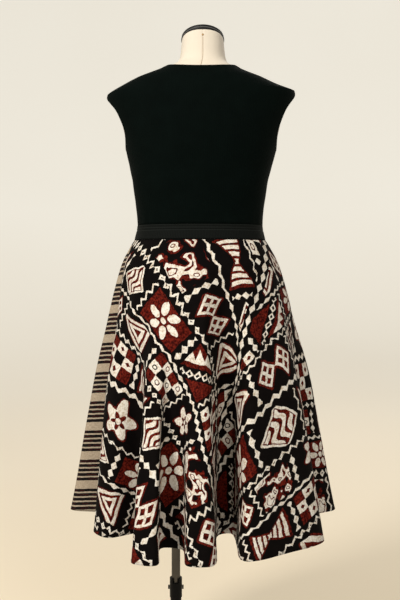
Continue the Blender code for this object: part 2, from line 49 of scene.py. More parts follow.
NECK_ROOT = 1.385
NECK_BASE = 1.425
NECK_TOP = 1.4645
FORM = {
    "z": (
        0.8, 0.808, 0.85, 0.92, 0.98, 1.03, 1.061, 1.095, 1.127, 1.159, 1.192, 1.224, 1.265,
        1.305, 1.335, 1.35, 1.363, 1.378, 1.386, 1.395, 1.406, 1.413, 1.4185, 1.428, 1.438, NECK_TOP,
    ),
    "half_width": (
        0.16, 0.171, 0.176, 0.167, 0.149, 0.136, 0.1325, 0.1353, 0.1393, 0.1437, 0.15, 0.1568, 0.1662,
        0.1755, 0.1795, 0.1745, 0.1615, 0.139, 0.1195, 0.0965, 0.0745, 0.061, 0.0545, 0.0505, 0.0487, 0.046,
    ),
    "back": (
        0.104, 0.116, 0.123, 0.12, 0.107, 0.098, 0.096, 0.098, 0.1015, 0.105, 0.108, 0.111, 0.112,
        0.109, 0.105, 0.1005, 0.0955, 0.087, 0.081, 0.074, 0.066, 0.06, 0.056, 0.0525, 0.05, 0.046,
    ),
    "front": (
        0.1, 0.111, 0.115, 0.112, 0.104, 0.098, 0.099, 0.103, 0.1075, 0.112, 0.115, 0.117, 0.112,
        0.101, 0.089, 0.081, 0.0745, 0.066, 0.061, 0.056, 0.052, 0.0495, 0.048, 0.0475, 0.047, 0.046,
    ),
}
FORM_X = 0.053
SQUARENESS = 0.045
BUST_DEG = (55.0, 125.0)
BUST_OUT = 0.018
BUST_HALF_DEG = 24.0
BUST_Z = 1.195
BUST_HALF_HEIGHT = 0.056
RIGHT_FULLNESS = 0.006
RIGHT_FULL_Z = 1.260
RIGHT_FULL_HALF_HEIGHT = 0.080
NECK_SHIFT = 0.006
NECK_X = FORM_X + NECK_SHIFT
NECK_LEAN = 0.36


def smooth_curve(table, name, at):
    """A column of a table against its z, as a smooth curve that does not overshoot its knots.

    A cubic between each two knots, whose slope at a knot is the harmonic mean of the slopes on both sides,
    or 0 where they differ in sign."""
    knots, values = np.array(table["z"], float), np.array(table[name], float)
    if knots[0] > knots[-1]:
        knots, values = knots[::-1], values[::-1]
    at = np.clip(np.asarray(at, float), knots[0], knots[-1])
    width = np.diff(knots)
    slope = np.diff(values) / width
    product = slope[:-1] * slope[1:]
    total = slope[:-1] + slope[1:]
    tangent = np.concatenate(([slope[0]], np.zeros(len(knots) - 2), [slope[-1]]))
    rising = product > 0
    tangent[1:-1][rising] = 2 * product[rising] / total[rising]
    index = np.clip(np.searchsorted(knots, at, side="right") - 1, 0, len(knots) - 2)
    part = (at - knots[index]) / width[index]
    lift = part * part * (3 - 2 * part)
    near = part * (1 - part) ** 2 * tangent[index] * width[index]
    far = part * part * (part - 1) * tangent[index + 1] * width[index]
    return values[index] * (1 - lift) + values[index + 1] * lift + near + far


def ease_step(low, high, at):
    """0 below low, 1 above high, and a smooth S between: three times the square less twice the cube."""
    part = np.clip((np.asarray(at, float) - low) / (high - low), 0, 1)
    return part * part * (3 - 2 * part)


def form_surface(theta, z):
    """Points of the form at angle theta (0 at +X, a quarter turn at the front) and height z.

    An ellipse with the table's half axes, squared off a little, with two soft bumps for the bust, a fuller
    right side, and a neck that stands to the right and whose top slants down to the front."""
    corner = 1 + SQUARENESS * np.sin(2 * theta) ** 2
    x = smooth_curve(FORM, "half_width", z) * np.cos(theta) * corner
    depth = np.where(np.sin(theta) > 0, smooth_curve(FORM, "front", z), smooth_curve(FORM, "back", z))
    y = depth * np.sin(theta) * corner
    turn = np.degrees(theta) % 360
    for side in BUST_DEG:
        away = ((turn - side) / BUST_HALF_DEG) ** 2 + ((z - BUST_Z) / BUST_HALF_HEIGHT) ** 2
        y = y + BUST_OUT * np.exp(-away)
    beside = np.maximum(np.cos(theta), 0) ** 2
    x = x + RIGHT_FULLNESS * beside * np.exp(-(((z - RIGHT_FULL_Z) / RIGHT_FULL_HALF_HEIGHT) ** 2))
    x = x + NECK_SHIFT * ease_step(NECK_ROOT, NECK_BASE, z)
    lean = NECK_LEAN * ease_step(NECK_BASE, NECK_TOP, z)
    return np.stack([x + FORM_X, y, z - lean * y], axis=-1)


def form_normal(theta, z):
    """Outward unit normals of the form, from small steps along both directions."""
    step = 1e-4
    along = form_surface(theta + step, z) - form_surface(theta - step, z)
    up = form_surface(theta, z + step) - form_surface(theta, z - step)
    normal = np.cross(along, up)
    return normal / np.linalg.norm(normal, axis=-1, keepdims=True)


class Value:
    """A number in a material's node tree. Python arithmetic on it adds Math nodes."""

    def __init__(self, tree, socket):
        self.tree = tree
        self.socket = socket

    def math(self, operation, *others, clamp=False):
        """The result of one Math node with this value first."""
        node = self.tree.nodes.new("ShaderNodeMath")
        node.operation = operation
        node.use_clamp = clamp
        for index, item in enumerate((self, *others)):
            if isinstance(item, Value):
                self.tree.links.new(item.socket, node.inputs[index])
            else:
                node.inputs[index].default_value = item
        return Value(self.tree, node.outputs[0])

    def fixed(self, number):
        """A constant in the same tree."""
        node = self.tree.nodes.new("ShaderNodeValue")
        node.outputs[0].default_value = number
        return Value(self.tree, node.outputs[0])

    def __add__(self, other):
        return self.math("ADD", other)

    __radd__ = __add__

    def __mul__(self, other):
        return self.math("MULTIPLY", other)

    __rmul__ = __mul__

    def __sub__(self, other):
        return self.math("SUBTRACT", other)

    def __rsub__(self, other):
        return self.fixed(other).math("SUBTRACT", self)

    def __truediv__(self, other):
        return self.math("DIVIDE", other)

    def __lt__(self, other):
        return self.math("LESS_THAN", other)

    def __gt__(self, other):
        return self.math("GREATER_THAN", other)

    def __abs__(self):
        return self.math("ABSOLUTE")

    def wrap(self, period):
        """What is left after whole periods, always from 0 to the period."""
        return self.math("FLOORED_MODULO", period)

    def fold(self, period):
        """A triangle wave: 0 at whole periods and half a period at most."""
        return self.math("PINGPONG", period / 2)

    def either(self, other):
        """The larger of two, the union of two masks."""
        return self.math("MAXIMUM", other)

    def between(self, low, high):
        """1 where the value lies between low and high."""
        return (self > low) * (self < high)

    def ramp(self, low, high):
        """0 below low, 1 above high, an even slope between."""
        return ((self - low) / (high - low)).math("ADD", 0.0, clamp=True)

    def choose(self, when_0, when_1):
        """when_0 where this mask is 0, when_1 where it is 1."""
        return self * (when_1 + when_0 * -1.0) + when_0


class Material:
    """A Principled material written as expressions."""

    def __init__(self, name, **constants):
        self.made = bpy.data.materials.new(name)
        self.made.use_nodes = True
        self.tree = self.made.node_tree
        self.shader = self.tree.nodes["Principled BSDF"]
        for key, value in constants.items():
            self.shader.inputs[key.replace("_", " ")].default_value = value

    def node(self, kind, settings=None, **inputs):
        """Any node: its settings are set first, then its inputs, given by name or as values."""
        node = self.tree.nodes.new("ShaderNode" + kind)
        for key, value in (settings or {}).items():
            setattr(node, key, value)
        for key, value in inputs.items():
            socket = node.inputs[key.replace("_", " ")]
            if isinstance(value, Value):
                self.tree.links.new(value.socket, socket)
            elif isinstance(value, bpy.types.NodeSocket):
                self.tree.links.new(value, socket)
            else:
                socket.default_value = value
        return node

    def place(self, layer=None):
        """The point being shaded: object coordinates, or a named UV layer in metres."""
        if layer:
            return self.node("UVMap", {"uv_map": layer}).outputs[0]
        return self.node("TexCoord").outputs["Object"]

    def parts(self, vector):
        """The three numbers of a vector."""
        split = self.node("SeparateXYZ", Vector=vector)
        return [Value(self.tree, split.outputs[i]) for i in range(3)]

    def join(self, x, y, z=0.0):
        """A vector from three numbers."""
        return self.node("CombineXYZ", X=x, Y=y, Z=z).outputs[0]

    def noise(self, vector, scale, detail=2.0, roughness=0.5):
        """Soft noise from 0 to 1."""
        made = self.node("TexNoise", Vector=vector, Scale=scale, Detail=detail, Roughness=roughness)
        return Value(self.tree, made.outputs[0])

    def mix(self, factor, first, second):
        """Colour mix of two colours or sockets."""
        node = self.tree.nodes.new("ShaderNodeMix")
        node.data_type = "RGBA"
        self.tree.links.new(factor.socket, node.inputs[0])
        for index, colour in ((6, first), (7, second)):
            if isinstance(colour, bpy.types.NodeSocket):
                self.tree.links.new(colour, node.inputs[index])
            else:
                node.inputs[index].default_value = (*colour, 1.0)
        return node.outputs[2]

    def set(self, name, value):
        """Links a value or colour to one of the shader's inputs."""
        self.tree.links.new(value.socket if isinstance(value, Value) else value, self.shader.inputs[name])

    def bump(self, height, distance, strength=1.0):
        """Raises the surface by height (0 to 1) times distance."""
        made = self.node("Bump", Height=height, Distance=distance, Strength=strength)
        self.set("Normal", made.outputs[0])


LINEN_PALE, LINEN_SHADED = (0.78, 0.69, 0.555), (0.69, 0.60, 0.465)
WARP_THREADS_ROUND = 190.0
WEFT_PHASE_PER_METRE = 4200.0

linen = Material("linen_cover", Roughness=0.9, Sheen_Weight=0.15, Sheen_Roughness=0.5)
at = linen.place()
x, y, z = linen.parts(at)
angle = (x - FORM_X).math("ARCTAN2", y)
warp_thread = (angle * WARP_THREADS_ROUND).math("SINE")
weft_thread = (z * WEFT_PHASE_PER_METRE).math("SINE")
slub = linen.noise(linen.join(angle * 0.25, z * 0.2, z * 1.0), 60.0, 3.0)
patch = linen.noise(at, 9.0, 3.0)
linen.set("Base Color", linen.mix(slub * 0.35 + patch * 0.5, LINEN_PALE, LINEN_SHADED))
linen.bump(warp_thread * 0.25 + weft_thread * 0.25 + slub, 0.0004, 0.5)


def grid_piece(name, points, material, around=False, cut=None, wall=None, inside=None):
    """A smooth piece through a grid of points (rows, columns), closed round when around is set.

    cut gives each point its place on the flat cloth, wall thickens the grid inwards, and inside is the
    material of the inner face."""
    rows, columns = points.shape[:2]
    index = np.arange(rows * columns).reshape(rows, columns)
    if around:
        index = np.concatenate([index, index[:, :1]], axis=1)
    quads = np.stack([index[:-1, :-1], index[:-1, 1:], index[1:, 1:], index[1:, :-1]], axis=-1)
    mesh = bpy.data.meshes.new(name)
    mesh.from_pydata(points.reshape(-1, 3), [], quads.reshape(-1, 4))
    if cut is not None:
        layer = mesh.uv_layers.new(name="cut")
        corners = np.empty(len(mesh.loops), np.int32)
        mesh.loops.foreach_get("vertex_index", corners)
        layer.data.foreach_set("uv", cut.reshape(-1, 2)[corners].astype(np.float32).ravel())
    mesh.shade_smooth()
    mesh.materials.append(material)
    piece = bpy.data.objects.new(name, mesh)
    bpy.context.scene.collection.objects.link(piece)
    if wall:
        shell = piece.modifiers.new("wall", "SOLIDIFY")
        shell.thickness = wall
        shell.offset = -1.0
        if inside:
            mesh.materials.append(inside)
            shell.material_offset = 1
    return piece


# The cover's rows: 40 up to where the shoulders turn in, and 30 over them and up the neck
COVER_ROWS = np.concatenate([np.linspace(0.806, 1.361, 40), np.linspace(1.368, 1.4640, 30)])
COVER_COLUMNS = 180
CENTRE_BACK, CENTRE_FRONT = 1.5 * math.pi, 0.5 * math.pi
COVER_SEAM_DEPTH = 0.0009
COVER_SEAM_HALF = 0.0016
NECK_RADIUS = 0.06
FORM_BOTTOM = 0.8002

theta = np.linspace(0, 2 * math.pi, COVER_COLUMNS, endpoint=False)
theta, rows = np.meshgrid(theta, COVER_ROWS)
groove = 0.0
for seam in (CENTRE_BACK, CENTRE_FRONT):
    groove = groove + COVER_SEAM_DEPTH * np.exp(-(((theta - seam) * NECK_RADIUS / COVER_SEAM_HALF) ** 2))
cover = form_surface(theta, rows) - form_normal(theta, rows) * groove[..., None]

# It closes below and across the neck with a ring drawn in a little, and then with that ring's middle
seat = cover[0] * (0.96, 0.96, 0) + (FORM_X * 0.04, 0, FORM_BOTTOM)
middle = np.broadcast_to(np.array([FORM_X, 0, FORM_BOTTOM]), seat.shape)
neck_centre = np.array([NECK_X, 0, cover[-1][:, 2].mean()])
neck = cover[-1] * 0.9 + neck_centre * 0.1
neck_middle = np.broadcast_to(neck_centre, seat.shape)
cover = np.concatenate([middle[None], seat[None], cover, neck[None], neck_middle[None]])
form_cover = grid_piece("form_cover", cover, linen.made, around=True)
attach(form_cover, "form")
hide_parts("form_torso")

# The thread of the cover's centre-back seam, where it shows down the neck: a cream sewing thread in 3 mm
# stitches, with painted shade where each one dips into the linen. It lies along the pinched seam.

THREAD_DIP_SHADE, THREAD_CREAM = (0.30, 0.22, 0.14), (0.60, 0.48, 0.34)
STITCH, STITCH_DIP = 0.0030, 0.0004
THREAD_TOP = 1.452
THREAD_SUNK = 0.0001
THREAD_HALF_WIDTH, THREAD_HALF_DEPTH = 0.00055, 0.00045
THREAD_STEPS, THREAD_SIDES = 60, 8

thread = Material("seam_thread", Roughness=0.8)
along = thread.parts(thread.place())[2]
# Painted shade: the thread is painted dark over each dip, where it goes into the cloth
between_dips = along.fold(STITCH) > STITCH_DIP
thread.set("Base Color", thread.mix(between_dips, THREAD_DIP_SHADE, THREAD_CREAM))
heights = np.linspace(NECK_ROOT, THREAD_TOP, THREAD_STEPS)
centre = form_surface(np.full(THREAD_STEPS, CENTRE_BACK), heights)
ring = np.linspace(0, 2 * math.pi, THREAD_SIDES, endpoint=False)
tube = np.stack(
    [
        centre[:, None, 0] + THREAD_HALF_WIDTH * np.cos(ring)[None],
        centre[:, None, 1] - THREAD_SUNK + THREAD_HALF_DEPTH * np.sin(ring)[None],
        np.broadcast_to(centre[:, None, 2], (THREAD_STEPS, THREAD_SIDES)),
    ],
    axis=-1,
)
seam_thread = grid_piece("neck_seam_thread", tube, thread.made, around=True)
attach(seam_thread, "form")

# The tack at the top of that seam: a small domed brass head, pushed into the neck to hold the cover's edge.
# Its profile is carried round an axis that points out of the back.

BRASS_DULL, BRASS_BRIGHT = (0.24, 0.13, 0.05), (0.42, 0.26, 0.11)
TACK_Z = 1.4545
TACK_PROFILE = np.array(
    [(0.0, 0.0011), (0.0012, 0.0010), (0.0020, 0.0006), (0.0023, 0.0), (0.0023, -0.0006)]
)

brass = Material("tack_brass", Roughness=0.45, Metallic=0.8)
brass.set("Base Color", brass.mix(brass.noise(brass.place(), 900.0), BRASS_DULL, BRASS_BRIGHT))
spot = form_surface(np.array([CENTRE_BACK]), np.array([TACK_Z]))[0]
ring = np.linspace(0, 2 * math.pi, 20, endpoint=False)
head = np.stack(
    [
        spot[0] + TACK_PROFILE[:, :1] * np.cos(ring)[None],
        spot[1] - TACK_PROFILE[:, 1:] + 0.0 * ring[None],
        spot[2] + TACK_PROFILE[:, :1] * np.sin(ring)[None],
    ],
    axis=-1,
)
tack = grid_piece("neck_tack", head, brass.made, around=True)
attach(tack, "form")

# The neck cap: a disc moulded in black plastic that closes the form's neck and slants with it. A thin grey
# bead sits in the groove round its rim.

PLASTIC_BLACK, PLASTIC_WORN = (0.005, 0.005, 0.005), (0.014, 0.014, 0.013)
BEAD_DARK, BEAD_GREY = (0.10, 0.10, 0.095), (0.18, 0.18, 0.17)
CAP_RADIUS = 0.0468
CAP_THICKNESS = 0.0125
CAP_GAP = 0.0003
CAP_GROOVE_SHARE = 0.42
CAP_PROFILE = {
    "radius": (0.0, 0.70, 0.93, 0.975, 0.995, 1.0, 1.0, 0.985, 1.0, 0.99, 0.96, 0.0),
    "height": (1.0, 1.0, 0.99, 0.96, 0.89, 0.80, 0.50, 0.42, 0.34, 0.08, 0.0, 0.0),
}
CAP_STEPS, BEAD_STEPS, BEAD_SIDES = 72, 96, 8
CAP_SLOPE = math.atan(NECK_LEAN)
BEAD_RADIUS = 0.0007

moulded = Material("cap_plastic", Roughness=0.35, Specular_IOR_Level=0.15)
at = moulded.place()
wear = moulded.noise(at, 70.0, 4.0)
moulded.set("Base Color", moulded.mix(wear, PLASTIC_BLACK, PLASTIC_WORN))
moulded.set("Roughness", wear * 0.25 + 0.35)
moulded.bump(moulded.noise(at, 900.0), 0.0002, 0.3)


def over_neck(radius, height, ring):
    """Points round the neck's slanting top: a circle of a radius at a height above it, turned by the slope
    and drawn out along it, so that it is round as seen from above."""
    along = radius * np.sin(ring) / math.cos(CAP_SLOPE)
    return np.stack(
        [
            NECK_X + radius * np.cos(ring),
            along * math.cos(CAP_SLOPE) + height * math.sin(CAP_SLOPE),
            NECK_TOP - along * math.sin(CAP_SLOPE) + height * math.cos(CAP_SLOPE),
        ],
        axis=-1,
    )


ring = np.linspace(0, 2 * math.pi, CAP_STEPS, endpoint=False)
radius = np.repeat(np.array(CAP_PROFILE["radius"])[:, None], CAP_STEPS, axis=1) * CAP_RADIUS
height = np.repeat(np.array(CAP_PROFILE["height"])[:, None], CAP_STEPS, axis=1) * CAP_THICKNESS + CAP_GAP
cap = grid_piece("cap_disc", over_neck(radius, height, ring)[::-1], moulded.made, around=True)
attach(cap, "form")
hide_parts("neck_cap")

bead = Material("cap_bead", Roughness=0.4, Specular_IOR_Level=0.3)
bead.set("Base Color", bead.mix(bead.noise(bead.place(), 400.0), BEAD_DARK, BEAD_GREY))
ring = np.linspace(0, 2 * math.pi, BEAD_STEPS, endpoint=False)
small = np.linspace(0, 2 * math.pi, BEAD_SIDES, endpoint=False)
radius = CAP_RADIUS + BEAD_RADIUS * np.cos(small)[:, None]
height = CAP_THICKNESS * CAP_GROOVE_SHARE + BEAD_RADIUS * np.sin(small)[:, None] + 0.0 * ring[None]
torus = over_neck(radius, height, ring)
torus = np.concatenate([torus, torus[:1]])
cap_bead = grid_piece("cap_bead", torus, bead.made, around=True)
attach(cap_bead, "form")

# The bodice: a back and a front panel of black stretch knit with grown-on cap shoulders, sewn together at
# the sides and shoulders. The neck and armholes are turned under once and stitched, which thickens them.

JERSEY_BLACK, JERSEY_WORN = (0.0003, 0.0014, 0.0010), (0.0012, 0.0034, 0.0026)
WALES_ROUND = 165.0
COURSE_PHASE_PER_METRE = 5200.0

jersey = Material("black_jersey", Roughness=0.82, Specular_IOR_Level=0.035)
at = jersey.place()
x, y, z = jersey.parts(at)
wale = ((x - FORM_X).math("ARCTAN2", y) * WALES_ROUND).math("SINE")
course = (z * COURSE_PHASE_PER_METRE).math("SINE")
mottle = jersey.noise(at, 35.0, 4.0)
jersey.set("Base Color", jersey.mix(mottle, JERSEY_BLACK, JERSEY_WORN))
jersey.bump(wale * 0.4 + course * 0.3 + jersey.noise(at, 700.0), 0.0004, 0.45)

JERSEY_WALL = 0.0013
UNDERARM = 1.225
SHOULDER_TIP = 1.349
NECK_POINT = 1.4065
BODICE_ROWS = (
    1.06075, 1.100, 1.142, 1.185, UNDERARM, 1.232, 1.244, 1.266, 1.290,
    1.314, 1.333, SHOULDER_TIP, 1.357, 1.366, 1.3775, 1.392, NECK_POINT,
)
EASE_OVER_SHOULDER, EASE_BELOW = 0.0016, 0.0014
EASE_FADES, SLACK_FADES, TUCKS_FADE = (1.27, 1.36), (1.20, 1.33), (1.061, 1.11)
SOLID_WALL = 0.0015
KNIT_RADIUS, EDGE_RADIUS = 0.15, 0.16
CAP_START, CAP_END = 1.232, 1.392
CAP_FLARE = 1.7
CAP_TAPER_RIGHT, CAP_TAPER_LEFT = 3.0, 2.2
CAP_REACH_RIGHT, CAP_REACH_LEFT = 0.0285, -0.0255
CAP_LIFT_RIGHT, CAP_LIFT_LEFT = 0.0048, -0.0040
SIDE_GAP = 0.0004
ARMHOLE_SQUARENESS = 2.6
UNDERARM_ROUNDNESS = 0.62
SCOOP_START = 1.24
RIPPLE, TUCK = 0.0009, 0.0006
TURNED_HEM = (0.0045, 0.0062)
HEM_RAISED = 0.00045
HEM_STITCH_IN, HEM_STITCH_HALF, HEM_STITCH_DEPTH = 0.0058, 0.0007, 0.0005
SIDE_SEAM_HALF, SIDE_SEAM_DEPTH = 0.0022, 0.0006


def bodice_surface(theta, z):
    """Outer face of the bodice: the form moved out by its ease and its wall, with the cap shoulder, which
    flares up to the tip and tapers off above it."""
    ease = EASE_OVER_SHOULDER + EASE_BELOW * (1 - ease_step(*EASE_FADES, z))
    points = form_surface(theta, z) + form_normal(theta, z) * (ease + SOLID_WALL)[..., None]
    right = np.cos(theta) > 0
    taper = np.where(right, CAP_TAPER_RIGHT, CAP_TAPER_LEFT)
    rising = np.clip((z - CAP_START) / (SHOULDER_TIP - CAP_START), 0, 1) ** CAP_FLARE
    falling = np.clip((CAP_END - z) / (CAP_END - SHOULDER_TIP), 0, 1) ** taper
    reach = np.minimum(rising, falling) * np.cos(theta) ** 2
    points[..., 0] += np.where(right, CAP_REACH_RIGHT, CAP_REACH_LEFT) * reach
    points[..., 2] += np.where(right, CAP_LIFT_RIGHT, CAP_LIFT_LEFT) * reach
    return points


def finer(knots, steps):
    """Each gap between knots cut into equal steps."""
    knots = np.array(knots, float)
    parts = [np.linspace(a, b, steps, endpoint=False) for a, b in zip(knots[:-1], knots[1:])]
    return np.concatenate(parts + [knots[-1:]])


def drape_noise(across, along, waves, seed):
    """Soft uneven ripples from about -1 to 1: a sum of sine waves with seeded directions and phases.

    waves is a list of (wavelength across, wavelength along) in metres, 0 for none."""
    dice = np.random.default_rng(seed)
    total = 0.0
    for wide, long in waves:
        turns = (across / wide if wide else 0.0) + (along / long if long else 0.0)
        total = total + np.sin(2 * math.pi * turns + dice.uniform(0, 2 * math.pi))
    return total / len(waves)


def bodice_panel(centre_deg, armhole_deg, neck_dip, scoop_power, seed):
    """Grid of one panel: armholes swing the sides in, the scoop lowers the neck at the middle, and the
    knit lies in soft ripples that fade out where it is stretched over the form's shoulders."""
    z_rows = finer(BODICE_ROWS, 6)
    across = np.linspace(-1, 1, 161)
    share = np.clip((z_rows - UNDERARM) / (SHOULDER_TIP - UNDERARM), 0, 1)
    roundness = np.where(share < 0.5, UNDERARM_ROUNDNESS, 1.0)
    inset = math.radians(armhole_deg) * (1 - np.abs(2 * share - 1) ** ARMHOLE_SQUARENESS) ** roundness
    reach = math.pi / 2 - SIDE_GAP - inset
    from_centre = across[None, :] * reach[:, None]
    theta = math.radians(centre_deg) + from_centre
    scoop = neck_dip * np.clip((z_rows - SCOOP_START) / (NECK_POINT - SCOOP_START), 0, 1) ** 2
    z = z_rows[:, None] - scoop[:, None] * np.cos(from_centre) ** scoop_power
    points = bodice_surface(theta, z)
    outward = form_normal(theta, z)
    arc = from_centre * KNIT_RADIUS
    ripple = drape_noise(arc, z, [(0.11, 0.30), (0.23, -0.11), (0.0, 0.085), (-0.16, 0.07)], seed)
    slack = 1 - ease_step(*SLACK_FADES, z)
    waist = 1 - ease_step(*TUCKS_FADE, z)
    points = points + outward * (RIPPLE * ripple * (0.25 + 0.75 * slack))[..., None]
    tucks = drape_noise(arc, z, [(0.031, 0.0), (0.047, 0.0), (0.074, 0.0)], seed + 1)
    points = points + outward * (TUCK * tucks * waist)[..., None]
    neck_away = (NECK_POINT - z_rows)[:, None] + 0.0 * arc
    side_away = (1 - np.abs(across))[None, :] * reach[:, None] * EDGE_RADIUS
    open_side = ((z_rows > UNDERARM) & (z_rows < SHOULDER_TIP))[:, None]
    edge = np.minimum(neck_away, np.where(open_side, side_away, 1.0))
    hem = 1 - ease_step(*TURNED_HEM, edge)
    stitch = np.exp(-(((edge - HEM_STITCH_IN) / HEM_STITCH_HALF) ** 2))
    points = points + outward * (HEM_RAISED * hem - HEM_STITCH_DEPTH * stitch)[..., None]
    seam = np.where(open_side, 1.0, side_away)
    pinched = SIDE_SEAM_DEPTH * np.exp(-((seam / SIDE_SEAM_HALF) ** 2))
    points = points - outward * pinched[..., None]
    return points


for name, centre, armhole, dip, power, seed in (
    ("bodice_back", 270, 24.0, 0.0120, 2, 3),
    ("bodice_front", 90, 30.0, 0.066, 5, 8),
):
    panel = bodice_panel(centre, armhole, dip, power, seed)
    piece = grid_piece(name + "_cloth", panel, jersey.made, wall=JERSEY_WALL)
    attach(piece, "form")
    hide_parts(name)

# The waistband: a closed ring of 32 mm black elastic, stretched on over the waist seam. It is ribbed, and
# its upper part is stitched through in three rows, which pull it in.

ELASTIC_BLACK, ELASTIC_WORN_AND_RIB_HIGHLIGHT = (0.0004, 0.0008, 0.0006), (0.0105, 0.0125, 0.0105)
BAND_BOTTOM = 1.0301
BAND_HEIGHT = 0.0306
BAND_WALL = 0.0018
BAND_WOBBLE = 0.0004
WAIST_RADIUS = 0.12
RIBS_ROUND = 210.0
FIRST_CORD, CORD_GAP = 1.0307, 0.0028
CORDED_FROM, STITCHED_FROM = 1.0500, 1.0480
FIRST_ROW, ROW_GAP, ROW_HALF = 1.0488, 0.0054, 0.0008

elastic = Material("waist_elastic", Roughness=0.75, Specular_IOR_Level=0.06)
at = elastic.place()
x, y, z = elastic.parts(at)
angle = (x - FORM_X).math("ARCTAN2", y)
rib = (angle * RIBS_ROUND).math("SINE") * 0.5 + 0.5
cord = ((z - FIRST_CORD).wrap(CORD_GAP) / CORD_GAP * (2 * math.pi)).math("SINE") * 0.5 + 0.5
upper = z > CORDED_FROM
fuzz = elastic.noise(at, 500.0, 3.0)
stitched = ((z - FIRST_ROW).fold(ROW_GAP) < ROW_HALF) * (z > STITCHED_FROM)
# The lighter tone is random fuzz and wear, the lighter stitching rows, and a painted highlight along the
# crest of each rib
tone = (rib * 0.30 + fuzz * 0.35).either(stitched * (0.6 + 0.5 * fuzz))
elastic.set("Base Color", elastic.mix(tone, ELASTIC_BLACK, ELASTIC_WORN_AND_RIB_HIGHLIGHT))
elastic.bump(upper.choose(rib * 0.6, cord) + fuzz * 0.4, 0.0006, 0.7)

# How far the band stands off the form, in millimetres, from its lower edge (share 0) to its upper
BAND = {
    "share": (0.00, 0.05, 0.30, 0.56, 0.60, 0.64, 0.68, 0.74, 0.78, 0.82, 0.87, 0.91, 0.95, 1.00),
    "stand": (7.3, 7.7, 7.1, 6.3, 5.9, 5.2, 5.7, 5.8, 5.1, 5.6, 5.5, 4.9, 5.3, 4.8),
}
shares = np.linspace(0, 1, 45)
stand = np.interp(shares, BAND["share"], BAND["stand"]) / 1000
heights = BAND_BOTTOM + shares * BAND_HEIGHT
theta = np.linspace(0, 2 * math.pi, 240, endpoint=False)
theta, heights = np.meshgrid(theta, heights)
outward = form_normal(theta, heights)
outward[..., 2] = 0
wobble = BAND_WOBBLE * drape_noise(theta * WAIST_RADIUS, heights, [(0.19, 0), (0.11, 0.06), (0.071, 0)], 21)
band = form_surface(theta, heights) + outward * (stand[:, None] + wobble)[..., None]
waistband = grid_piece("waistband_elastic", band, elastic.made, around=True, wall=BAND_WALL)
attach(waistband, "form")
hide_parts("waistband")

# The skirt: a flared sector of woven cotton, cut as a printed back and two striped fronts and sewn together
# at the sides, the centre front and the waist. It falls in ten flutes, each a crest and a valley at the hem
# that opens from its own height below the waistband.

SKIRT = {
    "z": (1.0299, 1.015, 0.979, 0.918, 0.850, 0.783, 0.722, 0.654, 0.540, 0.430),
    "half_width": (0.1437, 0.1530, 0.1720, 0.1900, 0.2060, 0.2240, 0.2385, 0.2510, 0.2720, 0.2925),
    "half_depth": (0.1057, 0.1170, 0.1360, 0.1620, 0.1880, 0.2130, 0.2350, 0.2580, 0.2950, 0.3280),
}
FLUTES = {
    "crest_deg": (9.0, 38.0, 73.0, 112.0, 146.0, 171.0, 214.5, 251.5, 270.0, 304.3),
    "crest_in": (-0.0125, 0.000, -0.005, 0.004, 0.000, 0.002, 0.049, -0.010, 0.002, 0.013),
    "crest_half": (0.028, 0.032, 0.036, 0.036, 0.030, 0.024, 0.035, 0.024, 0.0245, 0.0985),
    "crest_start": (0.06, 0.06, 0.06, 0.06, 0.06, 0.06, 0.10, 0.15, 0.15, 0.06),
    "valley_deg": (24.0, 56.0, 93.0, 130.0, 159.0, 184.0, 232.0, 257.0, 289.3, 349.0),
    "valley_in": (0.100, 0.120, 0.145, 0.125, 0.075, 0.090, 0.140, 0.090, 0.170, 0.078),
    "valley_half": (0.013, 0.014, 0.014, 0.014, 0.012, 0.012, 0.012, 0.020, 0.014, 0.010),
    "valley_start": (0.12, 0.08, 0.18, 0.10, 0.20, 0.02, 0.26, 0.40, 0.10, 0.24),
}
SKIRT_TOP = 1.0299
HEM = 0.430
PANEL_LENGTH = 0.622
SKIRT_WALL = 0.0012
SKIRT_ROWS = 72
STEPS_PER_KEY = 9
CREST_ROUNDING, CREST_ROUNDING_MOST = 0.30, 0.012
TURNING_POWER, OPENING_POWER = 0.60, 0.95


def envelope(angle, half_width, half_depth):
    """Distance from the axis to an ellipse in the direction angle."""
    return 1 / np.sqrt((np.cos(angle) / half_width) ** 2 + (np.sin(angle) / half_depth) ** 2)


def closed_spline(points, steps):
    """A closed curve through the points, in steps pieces between each pair, with knots spaced by the
    square root of the gaps so that it neither loops nor overshoots."""
    before, after, beyond = (np.roll(points, n, axis=0) for n in (1, -1, -2))
    gap_0 = np.sqrt(np.linalg.norm(points - before, axis=1))
    gap_1 = np.sqrt(np.linalg.norm(after - points, axis=1))
    gap_2 = np.sqrt(np.linalg.norm(beyond - after, axis=1))
    k1, k2, k3 = gap_0[:, None], (gap_0 + gap_1)[:, None], (gap_0 + gap_1 + gap_2)[:, None]
    found = []
    for step in range(steps):
        at = k1 + gap_1[:, None] * step / steps
        first = (before * (k1 - at) + points * at) / k1
        second = (points * (k2 - at) + after * (at - k1)) / (k2 - k1)
        third = (after * (k3 - at) + beyond * (at - k2)) / (k3 - k2)
        left = (first * (k2 - at) + second * at) / k2
        right = (second * (k3 - at) + third * (at - k1)) / (k3 - k1)
        found.append((left * (k2 - at) + right * (at - k1)) / (k2 - k1))
    return np.stack(found, axis=1).reshape(-1, 2)


